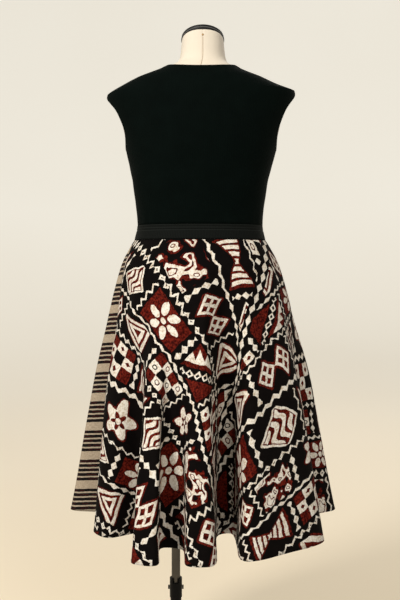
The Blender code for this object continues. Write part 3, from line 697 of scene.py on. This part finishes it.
def skirt_rings():
    """Rings from the waistband to the hem. A key point turns from its even share of the waist to its
    place at the hem, and moves in from the envelope as its flute opens."""
    places, starts = [], []
    for flute in range(len(FLUTES["crest_deg"])):
        for kind, sides in (("crest", (-1, 0, 1)), ("valley", (-1, 1))):
            turn = math.radians(FLUTES[kind + "_deg"][flute])
            half = FLUTES[kind + "_half"][flute]
            radius = envelope(turn, SKIRT["half_width"][-1], SKIRT["half_depth"][-1])
            radius -= FLUTES[kind + "_in"][flute]
            outward = np.array([math.cos(turn), math.sin(turn)])
            along = np.array([-math.sin(turn), math.cos(turn)])
            rounding = min(CREST_ROUNDING * half, CREST_ROUNDING_MOST) if kind == "crest" else 0.0
            for side in sides:
                places.append(outward * (radius - rounding * abs(side)) + along * side * half)
                starts.append(FLUTES[kind + "_start"][flute])
    places, starts = np.array(places), np.array(starts)
    hem_angle = np.unwrap(np.arctan2(places[:, 1], places[:, 0]))
    hem_inset = envelope(hem_angle, SKIRT["half_width"][-1], SKIRT["half_depth"][-1])
    hem_inset -= np.hypot(places[:, 0], places[:, 1])
    steps = np.linalg.norm(np.roll(places, -1, axis=0) - places, axis=1)
    waist_angle = 2 * math.pi * np.concatenate(([0], np.cumsum(steps)[:-1])) / steps.sum()
    waist_angle += np.mean(hem_angle - waist_angle)
    rings = []
    for share in np.linspace(0, 1, SKIRT_ROWS):
        z = SKIRT_TOP + share * (HEM - SKIRT_TOP)
        angle = waist_angle + (hem_angle - waist_angle) * share**TURNING_POWER
        opened = np.clip((share - starts) / (1 - starts), 0, 1) ** OPENING_POWER
        half_width, half_depth = smooth_curve(SKIRT, "half_width", z), smooth_curve(SKIRT, "half_depth", z)
        radius = envelope(angle, half_width, half_depth)
        radius = radius - opened * hem_inset
        radius *= 1 + SQUARENESS * np.sin(2 * angle) ** 2 * (1 - share) ** 4
        keys = np.stack([radius * np.cos(angle), radius * np.sin(angle)], axis=1)
        ring = closed_spline(keys, STEPS_PER_KEY)
        rings.append(np.concatenate([ring + (FORM_X, 0), np.full((len(ring), 1), z)], axis=1))
    return np.array(rings)


def surface_normals(points, around):
    """Outward unit normals of a grid whose rows run down and whose columns run anticlockwise."""
    if around:
        along = np.roll(points, -1, axis=1) - np.roll(points, 1, axis=1)
    else:
        along = np.gradient(points, axis=1)
    down = np.gradient(points, axis=0)
    normal = np.cross(down, along)
    return normal / np.linalg.norm(normal, axis=-1, keepdims=True)


# The woven cloth also sways a little between its flutes, more towards the hem than at the gathered waist
CLOTH_ROUND, CLOTH_DOWN = 3.26, 0.62
SWAY, FINE_RIPPLE = 0.0022, 0.0008

rings = skirt_rings()
arc = np.concatenate(
    [np.zeros((SKIRT_ROWS, 1)), np.cumsum(np.linalg.norm(np.diff(rings, axis=1), axis=2), axis=1)], axis=1
)
down = np.linspace(0, 1, SKIRT_ROWS)[:, None]
cloth_round = arc / arc[:, -1:] * CLOTH_ROUND
cloth_down = down * CLOTH_DOWN
sway = drape_noise(cloth_round, cloth_down, [(0.17, 0.9), (-0.23, 0.7), (0.31, 0.41), (0.12, -1.3)], 5)
fine = drape_noise(cloth_round, cloth_down, [(0.061, 0.35), (-0.083, 0.27), (0.047, -0.5), (0.0, 0.19)], 9)
loose = ease_step(0.02, 0.35, down)
rings_out = surface_normals(rings, around=True)
rings = rings + rings_out * (loose * (SWAY * sway + FINE_RIPPLE * fine))[..., None]
hem_angle = np.degrees(np.arctan2(rings[-1, :, 1], rings[-1, :, 0] - FORM_X)) % 360

# The panels dip a little at each seam, and the hem is turned up once and stitched
SEAM_DIP, SEAM_HALF = 0.0009, 0.0030
HEM_LAYER, HEM_FROM, HEM_TO = 0.0006, 0.0085, 0.0105
HEM_ROW_DEPTH, HEM_ROW_HALF = 0.0006, 0.0012
SEAM_DRAWN_IN = 0.00012


def seam_at(direction_deg):
    """Column whose hem point lies nearest to a direction, on one of the keys' own thirds."""
    third = STEPS_PER_KEY // 3
    away = np.abs((hem_angle[::third] - direction_deg + 180) % 360 - 180)
    return int(np.argmin(away)) * third


def skirt_panel(first, last, mirrored):
    """Points and flat places of the panel between two columns.

    The flat cut is a sector: a point's radius on it is the waist radius plus its length down the cloth, and
    its angle is its share of the ring. The edges dip a little at the seams and the hem is turned up."""
    count = rings.shape[1]
    picked = np.arange(first, first + (last - first) % count + 1) % count
    panel = rings[:, picked].copy()
    widths = np.linalg.norm(np.diff(panel, axis=1), axis=2)
    run = np.concatenate([np.zeros((SKIRT_ROWS, 1)), np.cumsum(widths, axis=1)], axis=1)
    share = run / run[:, -1:]
    spread = (run[-1, -1] - run[0, -1]) / PANEL_LENGTH
    waist_radius = run[0, -1] / spread
    radius = waist_radius + down * PANEL_LENGTH
    turn = (share - 0.5) * spread
    cut = np.stack([radius * np.sin(turn), -radius * np.cos(turn)], axis=-1)
    outward = surface_normals(panel, around=False)
    from_edge = np.minimum(run, run[:, -1:] - run)
    dip = SEAM_DIP * np.exp(-((from_edge / SEAM_HALF) ** 2))
    from_hem = (1 - down) * PANEL_LENGTH
    turned = HEM_LAYER * (1 - ease_step(HEM_FROM, HEM_TO, from_hem))
    stitched = HEM_ROW_DEPTH * np.exp(-(((from_hem - HEM_FROM) / HEM_ROW_HALF) ** 2))
    panel = panel + outward * (turned - stitched - dip)[..., None]
    for edge, inner in ((0, 1), (-1, -2)):
        away = panel[:, inner] - panel[:, edge]
        panel[:, edge] += away / np.linalg.norm(away, axis=1, keepdims=True) * SEAM_DRAWN_IN
    side = (-1 if mirrored else 1) * spread / 2
    along_seam = radius * np.cos(turn - side) - waist_radius
    across_seam = radius * np.sin(turn - side)
    by_seam = np.stack([across_seam, along_seam], axis=-1)
    return panel[::-1], cut[::-1], by_seam[::-1], run[-1, -1], (run[0, -1] + run[-1, -1]) / 2


# The two striped fronts: beige cotton printed with groups of five dark bars, each with a maroon heart. They
# are cut with the bars square to the side seams, so that they meet in a chevron at the centre-front seam.

BEIGE_PALE, BEIGE_DARK = (0.57, 0.46, 0.325), (0.30, 0.225, 0.15)
BAR_BLACK, HEART_MAROON = (0.0035, 0.0022, 0.0022), (0.040, 0.0045, 0.0035)
STRIPES_FROM = 0.007
GROUP_GAP, GROUP_WIDTH = 0.067, 0.0478
BAR_GAP, BAR_WIDTH = 0.0103, 0.0069
HEART_FROM, HEART_TO = 0.0024, 0.0040
THREAD_PHASE_PER_METRE = 5200.0
# Above this height the skirt's cloth is painted dark, painted shade under the waistband's lower edge
UNDER_BAND_SHADE_Z = 1.0280


def striped(name, fade):
    """The striped cotton, seen from its face (fade 0) or paler from its back.

    The height up the cloth, made ragged, is wrapped into groups, and what is left of it into bars."""
    cotton = Material(name, Roughness=0.88, Specular_IOR_Level=0.15)
    place = cotton.place("cut")
    across, along, _ = cotton.parts(place)
    ragged = (cotton.noise(place, 90.0, 4.0) - 0.5) * 0.0022
    up = PANEL_LENGTH - along + ragged
    group = (up - STRIPES_FROM).wrap(GROUP_GAP)
    bar = group.wrap(BAR_GAP)
    inside = (group < GROUP_WIDTH) * (up > STRIPES_FROM)
    dark = (bar < BAR_WIDTH) * inside
    heart = bar.between(HEART_FROM, HEART_TO) * inside * (cotton.noise(place, 45.0, 3.0) > 0.50)
    thread_a = (across * THREAD_PHASE_PER_METRE).math("SINE")
    thread_b = (along * THREAD_PHASE_PER_METRE).math("SINE")
    slub = cotton.noise(cotton.join(across * 3.0, along * 0.7), 260.0, 3.0)
    streak = cotton.noise(cotton.join(across * 0.7, along * 3.0), 200.0, 3.0)
    blotch = slub * 0.5 + streak * 0.5
    ground = cotton.mix(blotch.ramp(0.32, 0.68), BEIGE_PALE, BEIGE_DARK)
    ink = cotton.mix(heart, BAR_BLACK, HEART_MAROON)
    # Painted shade: the top 2 mm of the cloth, just under the waistband, is painted in the dark ink
    under_band_shade = cotton.parts(cotton.place())[2] > UNDER_BAND_SHADE_Z
    cover = (dark * (1 - fade)).either(under_band_shade)
    cotton.set("Base Color", cotton.mix(cover, ground, ink))
    cotton.bump(thread_a * 0.2 + thread_b * 0.2 + blotch, 0.0005, 0.5)
    return cotton.made


# The back: cotton printed with a patchwork of blocks in black, maroon and cream. The blocks stand in
# slanting columns with zigzags and chains of diamonds between them, and each holds one of ten plain motifs.
# Its sizes are metres on the flat cloth, before the print is scaled.

DYE_REDS = (0.022, 0.0012, 0.0009), (0.165, 0.015, 0.0070)
DYE_PALES = (0.82, 0.76, 0.65), (0.46, 0.33, 0.20)
DYE_BLACKS = (0.0012, 0.0008, 0.0007), (0.0045, 0.0030, 0.0026)
# The colour of the painted shade along the skirt's top, just under the waistband
UNDER_BAND_SHADE_BLACK = (0.002, 0.002, 0.002)
REVERSE_TONE = (0.45, 0.36, 0.28)
PRINT_SCALE = 1.16
MOTIF_SCALE = 1.12
BLOCK_WIDE, BLOCK_LONG = 0.108, 0.136
LEAN_LEFT, LEAN_RIGHT = math.radians(19), math.radians(-38)
MOTIFS = 10.0
COLUMN_BEND = 0.016
COLUMN_STEP = 0.37
BORDER = 0.0130
DIVIDE_LEAN, DIVIDE_AT, DIVIDE_HALF = 0.22, 0.190, 0.014


def printed(name, fade):
    """The printed cotton, seen from its face (fade 0) or paler from its back.

    The flat cloth is cut into blocks, and each motif is a cream and a maroon mask of the place in its block.
    Where neither mask holds, the cloth is black."""
    cotton = Material(name, Roughness=0.86, Specular_IOR_Level=0.05)
    place = cotton.place("cut")
    flat_x, flat_y, _ = cotton.parts(place)
    everywhere = flat_x * 0.0 + 1.0
    hand_x = (cotton.noise(place, 14.0, 2.0) - 0.5) * 0.020
    hand_y = (cotton.noise(cotton.join(flat_y, flat_x, 3.0), 14.0, 2.0) - 0.5) * 0.020
    shake = (cotton.noise(place, 120.0, 2.0) - 0.5) * 0.0034
    shake = shake + (cotton.noise(place, 420.0, 2.0) - 0.5) * 0.0016
    drawn_x = (flat_x + hand_x + shake) * PRINT_SCALE
    drawn_y = (flat_y + hand_y + shake) * PRINT_SCALE

    # Two fields of slanting columns that lean opposite ways, with a chain of diamonds where they meet
    divide = drawn_x - drawn_y * DIVIDE_LEAN - DIVIDE_AT
    field = divide > 0.0
    a_left = drawn_x * math.cos(LEAN_LEFT) + drawn_y * math.sin(LEAN_LEFT)
    b_left = drawn_y * math.cos(LEAN_LEFT) - drawn_x * math.sin(LEAN_LEFT)
    a_right = drawn_x * math.cos(LEAN_RIGHT) + drawn_y * math.sin(LEAN_RIGHT)
    b_right = drawn_y * math.cos(LEAN_RIGHT) - drawn_x * math.sin(LEAN_RIGHT)
    a, b = field.choose(a_left, a_right), field.choose(b_left, b_right)

    # Each column bends a little and starts its blocks at its own height; p and q run from a block's middle
    a = a + (a * 17.0).math("SINE") * COLUMN_BEND
    column = (a / BLOCK_WIDE).math("FLOOR")
    p = a - (column + 0.5) * BLOCK_WIDE
    b = b + (column * COLUMN_STEP).wrap(1.0) * BLOCK_LONG
    b = b + (b * 14.0).math("SINE") * COLUMN_BEND
    row = (b / BLOCK_LONG).math("FLOOR")
    q = b - (row + 0.5) * BLOCK_LONG
    kind = (column * 3.0 + row * 8.0 + field * 4.0).wrap(MOTIFS)
    side_p, side_q = abs(p), abs(q)
    p, q = p * MOTIF_SCALE, q * MOTIF_SCALE
    abs_p, abs_q = abs(p), abs(q)

    def pick(number, when, cream_here, maroon_here):
        """The two masks, replaced where the block holds this kind of motif."""
        picked = abs(kind - float(number)) < 0.5
        return picked.choose(when[0], cream_here), picked.choose(when[1], maroon_here)

    # Lozenges with a cross inside, one above another
    pair_q = abs(abs_q - 0.030)
    lozenge = abs_p / 0.040 + pair_q / 0.030
    cross = abs(abs_p / 0.040 - pair_q / 0.030) < 0.17
    masks = lozenge.between(0.72, 1.0).either(cross * (lozenge < 0.8)), lozenge < 1.22

    # An hourglass of two barred triangles, tip to tip
    hourglass = (abs_q < 0.054) * (abs_p < (abs_q * 0.68 + 0.004))
    bars = (abs_q + 0.004).wrap(0.0150) < 0.0092
    masks = pick(1, masks, hourglass * bars, (abs_q < 0.058) * (abs_p < (abs_q * 0.68 + 0.009)))

    # Triangles one inside another
    triangle = (abs_p * 0.87 + q * 0.5).either(q * -1.0)
    rims = triangle.between(0.025, 0.035).either(triangle.between(0.008, 0.017))
    masks = pick(2, masks, rims, triangle < 0.039)

    # Waves inside an outlined diamond
    wave = (q + (p * 130.0).math("SINE") * 0.009).wrap(0.026) < 0.0145
    diamond = abs_p * 1.2 + abs_q
    outlined = (wave * (diamond < 0.051)).either(diamond.between(0.055, 0.063))
    masks = pick(3, masks, outlined, diamond < 0.063)

    # Chequered squares with a ring in each pale one
    square = 0.031
    near_x = (p + 1.5 * square).wrap(square) - square / 2
    near_y = (q + 2 * square).wrap(square) - square / 2
    step_x = ((p + 1.5 * square) / square).math("FLOOR")
    step_y = ((q + 2 * square) / square).math("FLOOR")
    pale = (step_x + step_y).wrap(2.0) < 0.5
    ring = (near_x * near_x + near_y * near_y).math("SQRT").between(0.0050, 0.0080)
    masks = pick(4, masks, pale * (1 - ring), step_x.wrap(2.0) < 0.5)

    # Six leaves round a centre, on plain maroon
    far = (p * p + q * q).math("SQRT")
    turn = q.math("ARCTAN2", p)
    sixth = math.pi / 3
    slice_6 = turn.wrap(sixth) - sixth / 2
    leaf_x = (far * slice_6.math("COSINE") - 0.031) / 0.0175
    leaf_y = far * slice_6.math("SINE") / 0.0105
    leaves = (leaf_x * leaf_x + leaf_y * leaf_y) < 1.0
    masks = pick(5, masks, leaves.either(far < 0.008), everywhere)

    # A five-lobed flower with a hollow heart
    lobes = (turn * 5.0).math("COSINE")
    petal = (far < (lobes * 0.010 + 0.035)) * (far > (0.016 - lobes * 0.006))
    masks = pick(6, masks, petal.either(far < 0.007), far < (lobes * 0.010 + 0.040))

    # A slanting chain of outlined diamonds between maroon corners with saw teeth
    slant, run = (p + q) * 0.7071, (p - q) * 0.7071
    link = abs(slant) / 0.012 + abs(run.wrap(0.025) - 0.0125) / 0.0125
    tooth = (slant > 0.028) * (abs(run.wrap(0.026) - 0.013) < (0.062 - slant) * 0.5)
    masks = pick(7, masks, link.between(0.50, 1.0).either(tooth), abs(slant) > 0.016)

    # Loose cut-out shapes, pale on maroon
    free = cotton.noise(cotton.join(a + 5.0, b), 34.0, 1.0)
    masks = pick(8, masks, (free > 0.52) * ((free < 0.60) + (free > 0.635)), free > 0.46)

    # Pale squares with a small maroon diamond, stepped against maroon ones
    eye = abs(near_x) + abs(near_y)
    stepped = (step_x + step_y).wrap(2.0).between(0.5, 1.5) * (abs_p < 1.5 * square)
    masks = pick(9, masks, stepped * (eye > 0.0075), stepped.either(step_y.wrap(2.0) < 0.5))
    cream, maroon = masks

    # Black borders: zigzags and chains of diamonds take turns up the columns and across them
    wide_edge, long_edge = BLOCK_WIDE / 2, BLOCK_LONG / 2
    inside = (side_p < wide_edge - BORDER) * (side_q < long_edge - BORDER)
    cream, maroon = cream * inside, maroon * inside
    edge_p = (side_p - wide_edge) * ((p > 0.0) * 2.0 - 1.0)
    edge_q = (side_q - long_edge) * ((q > 0.0) * 2.0 - 1.0)
    zigzag = abs(edge_p - b.fold(0.022) + 0.0055) < 0.0029
    chain = abs(edge_p) < (0.0072 - b.fold(0.026) * 0.56)
    odd_column = (column + (p > 0.0)).wrap(2.0).between(0.5, 1.5)
    upright = odd_column.choose(zigzag, chain) * (side_p > wide_edge - BORDER)
    zigzag = abs(edge_q - a.fold(0.021) + 0.00525) < 0.0029
    chain = abs(edge_q) < (0.0070 - a.fold(0.025) * 0.54)
    odd_row = (row + (q > 0.0)).wrap(2.0).between(0.5, 1.5)
    level = odd_row.choose(chain, zigzag) * (side_q > long_edge - BORDER)
    cream = cream.either(upright).either(level * (side_p < wide_edge - BORDER))
    meeting = abs(divide) < DIVIDE_HALF
    joined = abs(divide) < (0.0088 - drawn_y.fold(0.030) * 0.58)
    cream, maroon = meeting.choose(cream, joined), meeting.choose(maroon, 0.0)

    # The dyes: red and cream with flecks and cloudy patches, and black with clouds alone
    fleck = cotton.noise(place, 210.0, 3.0, 0.65)
    cloud = cotton.noise(place, 70.0, 3.0)
    thread_a = (flat_x * THREAD_PHASE_PER_METRE).math("SINE")
    thread_b = (flat_y * THREAD_PHASE_PER_METRE).math("SINE")
    reds = cotton.mix((fleck * 0.9 + cloud * 0.3).ramp(0.50, 0.74), *DYE_REDS)
    pales = cotton.mix((fleck * 0.9 + cloud * 0.4).ramp(0.58, 0.86), *DYE_PALES)
    blacks = cotton.mix(cloud, *DYE_BLACKS)
    # Painted shade: the top 2 mm of the cloth, just under the waistband, is painted black
    under_band_shade = cotton.parts(cotton.place())[2] > UNDER_BAND_SHADE_Z
    colour = cotton.mix(cream, cotton.mix(maroon, blacks, reds), pales)
    colour = cotton.mix(under_band_shade, colour, UNDER_BAND_SHADE_BLACK)
    if fade:
        colour = cotton.mix(everywhere * fade, colour, REVERSE_TONE)
    cotton.set("Base Color", colour)
    cotton.bump(thread_a * 0.2 + thread_b * 0.2 + fleck, 0.0004, 0.4)
    return cotton.made


# The three panels part at the side seams and the centre front, given as directions at the hem in degrees
RIGHT_SEAM_DEG, FRONT_SEAM_DEG, LEFT_SEAM_DEG = 16.0, 93.0, 184.0

right, middle, left = seam_at(RIGHT_SEAM_DEG), seam_at(FRONT_SEAM_DEG), seam_at(LEFT_SEAM_DEG)
stripes, stripes_back = striped("striped_cotton", 0.0), striped("striped_cotton_reverse", 0.45)
print_face, print_back = printed("printed_cotton", 0.0), printed("printed_cotton_reverse", 0.5)
for name, first, last, mirrored, face, reverse in (
    ("skirt_front_right", right, middle, True, stripes, stripes_back),
    ("skirt_front_left", middle, left, False, stripes, stripes_back),
    ("skirt_back", left, right, False, print_face, print_back),
):
    panel, sector, by_seam, hem_width, mean_width = skirt_panel(first, last, mirrored)
    flat_place = sector if name == "skirt_back" else by_seam
    piece = grid_piece(name + "_cloth", panel, face, cut=flat_place, wall=SKIRT_WALL, inside=reverse)
    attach(piece, "form")
    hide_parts(name)
    "print_cotton" if name == "skirt_back" else "stripe_cotton"
    float(mean_width * PANEL_LENGTH)

# The stand: a weighted base, tube, collar and clamp bolts of painted steel, the painted flange that carries
# the form, and a plain drawn-steel rod that slides in the tube. Their shapes are the solids' own.

PAINT_BLACK, PAINT_SCUFFED = (0.0012, 0.0012, 0.0014), (0.0060, 0.0058, 0.0056)
STEEL_BRIGHT, STEEL_DULL = (0.10, 0.093, 0.084), (0.045, 0.042, 0.038)

painted = Material("black_paint", Roughness=0.45, Specular_IOR_Level=0.10)
at = painted.place()
peel = painted.noise(at, 420.0, 2.0)
scuff = painted.noise(at, 38.0, 5.0)
painted.set("Base Color", painted.mix(scuff.ramp(0.55, 0.8), PAINT_BLACK, PAINT_SCUFFED))
painted.set("Roughness", scuff * 0.3 + 0.28)
painted.bump(peel, 0.0002, 0.35)

steel = Material("rod_steel", Metallic=1.0, Roughness=0.3)
at = steel.place()
x, y, z = steel.parts(at)
drawn = steel.noise(steel.join(x * 30.0, y * 30.0, z * 0.6), 60.0, 3.0)
smear = steel.noise(at, 26.0, 4.0)
steel.set("Base Color", steel.mix(smear * 0.6 + drawn * 0.4, STEEL_BRIGHT, STEEL_DULL))
steel.set("Roughness", smear * 0.3 + 0.25)
steel.bump(drawn, 0.0001, 0.3)

painted_nodes = (
    "stand_base", "stand_tube", "clamp_collar", "clamp_bolt_left", "clamp_bolt_right", "form_flange",
)
for finish, nodes in ((painted, painted_nodes), (steel, ("height_rod",))):
    for node in nodes:
        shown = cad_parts[node]
        shown.data.materials.clear()
        shown.data.materials.append(finish.made)

# The studio: a pale warm painted bowl far round the object, whose colour has painted shade low down near its
# middle, painted light higher up and further out, and a painted glow of its own; two soft lights in front
# and a wide one high up behind; and a level camera on the side that the dress's back faces.

BOWL_PROFILE = np.array(
    [(0.01, 0.0), (3.0, 0.0), (5.0, 0.02), (6.2, 0.5), (6.8, 1.6), (7.0, 3.2), (7.0, 7.0)]
)
BELOW_FLOOR = 0.001
WALL_DEEP_AND_SHADED, WALL_PALE_AND_LIT = (0.72, 0.61, 0.44), (0.99, 0.95, 0.85)
LIT_POINT = np.array([FORM_X, 0, 0.95])
LAMPS = (
    ("key", (-1.9, -2.3, 2.9), 0.8, 104.0, (1.0, 0.97, 0.93)),
    ("fill", (1.2, -3.0, 2.2), 1.0, 26.0, (1.0, 0.96, 0.91)),
    ("back", (1.2, 3.0, 3.2), 2.0, 24.0, (1.0, 0.97, 0.93)),
)
AMBIENT_COLOUR, AMBIENT = (1.0, 0.98, 0.94, 1.0), 0.42
SENSOR = 36.0
FOCAL_PIXELS, DROP_PIXELS, PICTURE_PIXELS = 818.0, 35.0, 600.0
CAMERA_AWAY, CAMERA_HEIGHT = 1.8, 0.975

# Painted glow: the bowl gives off light in its own colour, though it is no lamp
backdrop = Material("pale_paint_shade_and_glow", Roughness=0.95, Specular_IOR_Level=0.1, Emission_Strength=0.33)
at = backdrop.place()
x, y, height = backdrop.parts(at)
far = (x * x + y * y).math("SQRT")
# Painted shade and light: darker near the middle of the floor and low down, paler further out and higher up,
# over a random tone
tone = backdrop.noise(at, 0.6, 2.0) * 0.16 + (far * 0.13 + height * 0.12).ramp(0.12, 1.05) * 0.9
paint_shade_and_glow = backdrop.mix(tone, WALL_DEEP_AND_SHADED, WALL_PALE_AND_LIT)
backdrop.set("Base Color", paint_shade_and_glow)
backdrop.set("Emission Color", paint_shade_and_glow)
turn = np.linspace(0, 2 * math.pi, 96, endpoint=False)
profile = BOWL_PROFILE - (0, BELOW_FLOOR)
bowl = np.stack(
    [
        profile[:, :1] * np.cos(turn)[None],
        profile[:, :1] * np.sin(turn)[None],
        profile[:, 1:] + 0.0 * turn[None],
    ],
    axis=-1,
)
studio = grid_piece("studio_bowl", bowl[::-1], backdrop.made, around=True)
rounded = studio.modifiers.new("round", "SUBSURF")
rounded.levels = rounded.render_levels = 2
studio.visible_shadow = False
studio.visible_diffuse = False

world = bpy.data.worlds.new("studio")
bpy.context.scene.world = world
world.use_nodes = True
world.node_tree.nodes["Background"].inputs[0].default_value = AMBIENT_COLOUR
world.node_tree.nodes["Background"].inputs[1].default_value = AMBIENT

for name, place, size, power, colour in LAMPS:
    lamp = bpy.data.lights.new(name, "AREA")
    lamp.size = size
    lamp.energy = power
    lamp.color = colour
    light = bpy.data.objects.new(name, lamp)
    light.location = place
    aim = LIT_POINT - np.array(place)
    light.rotation_euler = (
        math.atan2(math.hypot(aim[0], aim[1]), -aim[2]),
        0,
        math.atan2(-aim[0], aim[1]),
    )
    bpy.context.scene.collection.objects.link(light)

lens = bpy.data.cameras.new("camera")
lens.sensor_width = SENSOR
lens.lens = FOCAL_PIXELS / PICTURE_PIXELS * SENSOR
lens.shift_y = -DROP_PIXELS / PICTURE_PIXELS
camera = bpy.data.objects.new("camera", lens)
camera.location = (FORM_X, -CAMERA_AWAY, CAMERA_HEIGHT)
camera.rotation_euler = (math.pi / 2, 0, 0)
bpy.context.scene.collection.objects.link(camera)
bpy.context.scene.camera = camera
bpy.context.scene.view_settings.view_transform = "Standard"
